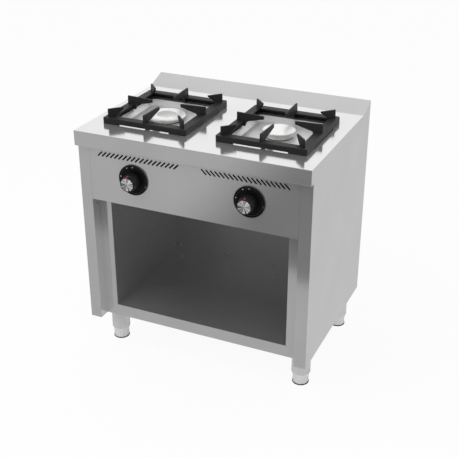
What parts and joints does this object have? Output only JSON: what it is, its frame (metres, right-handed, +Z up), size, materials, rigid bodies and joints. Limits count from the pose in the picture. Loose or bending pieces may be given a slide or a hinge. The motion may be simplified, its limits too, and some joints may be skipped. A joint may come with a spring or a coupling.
{
  "type": "gas range",
  "caption": "Floor-standing stainless steel gas range: side-by-side open burners under cast pan supports, knobs on a slotted panel, open storage cabinet below, round adjustable legs",
  "frame": {"origin": "on the floor, under the middle of the whole envelope", "axes": "+X to the right seen from the front, +Y to the rear, +Z up; the knobs face -Y"},
  "size_m": [0.8, 0.616, 0.8783],
  "materials": {
    "steel_sheet": "fine satin, nearly mirror",
    "plain_sheet": "mill finish",
    "leg_steel": "satin",
    "pad_plastic": "matt",
    "fastener_steel": "satin",
    "support_iron": "matt black enamel",
    "burner_iron": "rough cast",
    "burner_brass": "pale machined",
    "bezel_plastic": "satin",
    "knob_plastic": "semi-gloss",
    "disc_metal": "circular brushed",
    "spindle_steel": "ground",
    "tap_brass": "machined",
    "pipe_steel": "dark paint",
    "pipe_aluminium": "drawn"
  },
  "bodies": {
    "cabinet": {"worktop": "steel_sheet", "control_panel": "steel_sheet", "left_side_panel": "steel_sheet", "right_side_panel": "steel_sheet", "bottom_shelf": "steel_sheet", "left_inner_wall": "steel_sheet", "right_inner_wall": "steel_sheet", "inner_back_wall": "plain_sheet", "compartment_floor": "plain_sheet", "back_panel": "plain_sheet", "left_base_channel": "plain_sheet", "right_base_channel": "plain_sheet", "left_manifold_bracket": "plain_sheet", "right_manifold_bracket": "plain_sheet", "front_left_leg": "leg_steel", "front_right_leg": "leg_steel", "rear_left_leg": "leg_steel", "rear_right_leg": "leg_steel", "leg_bolts": "fastener_steel", "back_wall_rivets": "fastener_steel", "left_burner": "burner_iron", "right_burner": "burner_iron", "left_bezel": "bezel_plastic", "right_bezel": "bezel_plastic", "left_gas_tap": "tap_brass", "right_gas_tap": "tap_brass", "left_injector": "tap_brass", "right_injector": "tap_brass", "gas_inlet": "tap_brass", "manifold_plug": "tap_brass", "gas_manifold": "pipe_steel", "left_supply_pipe": "pipe_aluminium", "right_supply_pipe": "pipe_aluminium"},
    "left_push": {"left_push_rod": "spindle_steel"},
    "left_knob_set": {"left_knob": "knob_plastic", "left_knob_disc": "disc_metal", "left_spindle": "spindle_steel"},
    "right_push": {"right_push_rod": "spindle_steel"},
    "right_knob_set": {"right_knob": "knob_plastic", "right_knob_disc": "disc_metal", "right_spindle": "spindle_steel"},
    "left_support": {"left_pan_support": "support_iron"},
    "left_crown": {"left_burner_crown": "burner_brass"},
    "left_cap": {"left_burner_cap": "burner_brass"},
    "right_support": {"right_pan_support": "support_iron"},
    "right_crown": {"right_burner_crown": "burner_brass"},
    "right_cap": {"right_burner_cap": "burner_brass"},
    "front_left_foot_set": {"front_left_foot": "leg_steel", "front_left_foot_pad": "pad_plastic"},
    "front_right_foot_set": {"front_right_foot": "leg_steel", "front_right_foot_pad": "pad_plastic"},
    "rear_left_foot_set": {"rear_left_foot": "leg_steel", "rear_left_foot_pad": "pad_plastic"},
    "rear_right_foot_set": {"rear_right_foot": "leg_steel", "rear_right_foot_pad": "pad_plastic"}
  },
  "joints": [
    {"name": "left_knob_push", "type": "slide", "parent": "cabinet", "child": "left_push", "axis": [0, 1, 0], "range_m": [0, 0.004], "stiffness_N_per_m": 1500, "springref_m": -0.002},
    {"name": "left_knob_turn", "type": "hinge", "parent": "left_push", "child": "left_knob_set", "pos_m": [-0.2, -0.2635, 0.6885], "axis": [0, -1, 0], "range_deg": [0, 180]},
    {"name": "right_knob_push", "type": "slide", "parent": "cabinet", "child": "right_push", "axis": [0, 1, 0], "range_m": [0, 0.004], "stiffness_N_per_m": 1500, "springref_m": -0.002},
    {"name": "right_knob_turn", "type": "hinge", "parent": "right_push", "child": "right_knob_set", "pos_m": [0.2, -0.2635, 0.6885], "axis": [0, -1, 0], "range_deg": [0, 180]},
    {"name": "left_support_lift", "type": "slide", "parent": "cabinet", "child": "left_support", "axis": [0, 0, 1], "range_m": [0, 0.06]},
    {"name": "left_crown_lift", "type": "slide", "parent": "cabinet", "child": "left_crown", "axis": [0, 0, 1], "range_m": [0, 0.01]},
    {"name": "left_cap_lift", "type": "slide", "parent": "left_crown", "child": "left_cap", "axis": [0, 0, 1], "range_m": [0, 0.01]},
    {"name": "right_support_lift", "type": "slide", "parent": "cabinet", "child": "right_support", "axis": [0, 0, 1], "range_m": [0, 0.06]},
    {"name": "right_crown_lift", "type": "slide", "parent": "cabinet", "child": "right_crown", "axis": [0, 0, 1], "range_m": [0, 0.01]},
    {"name": "right_cap_lift", "type": "slide", "parent": "right_crown", "child": "right_cap", "axis": [0, 0, 1], "range_m": [0, 0.01]},
    {"name": "front_left_foot_height", "type": "slide", "parent": "cabinet", "child": "front_left_foot_set", "axis": [0, 0, -1], "range_m": [0, 0.025]},
    {"name": "front_right_foot_height", "type": "slide", "parent": "cabinet", "child": "front_right_foot_set", "axis": [0, 0, -1], "range_m": [0, 0.025]},
    {"name": "rear_left_foot_height", "type": "slide", "parent": "cabinet", "child": "rear_left_foot_set", "axis": [0, 0, -1], "range_m": [0, 0.025]},
    {"name": "rear_right_foot_height", "type": "slide", "parent": "cabinet", "child": "rear_right_foot_set", "axis": [0, 0, -1], "range_m": [0, 0.025]}
  ]
}
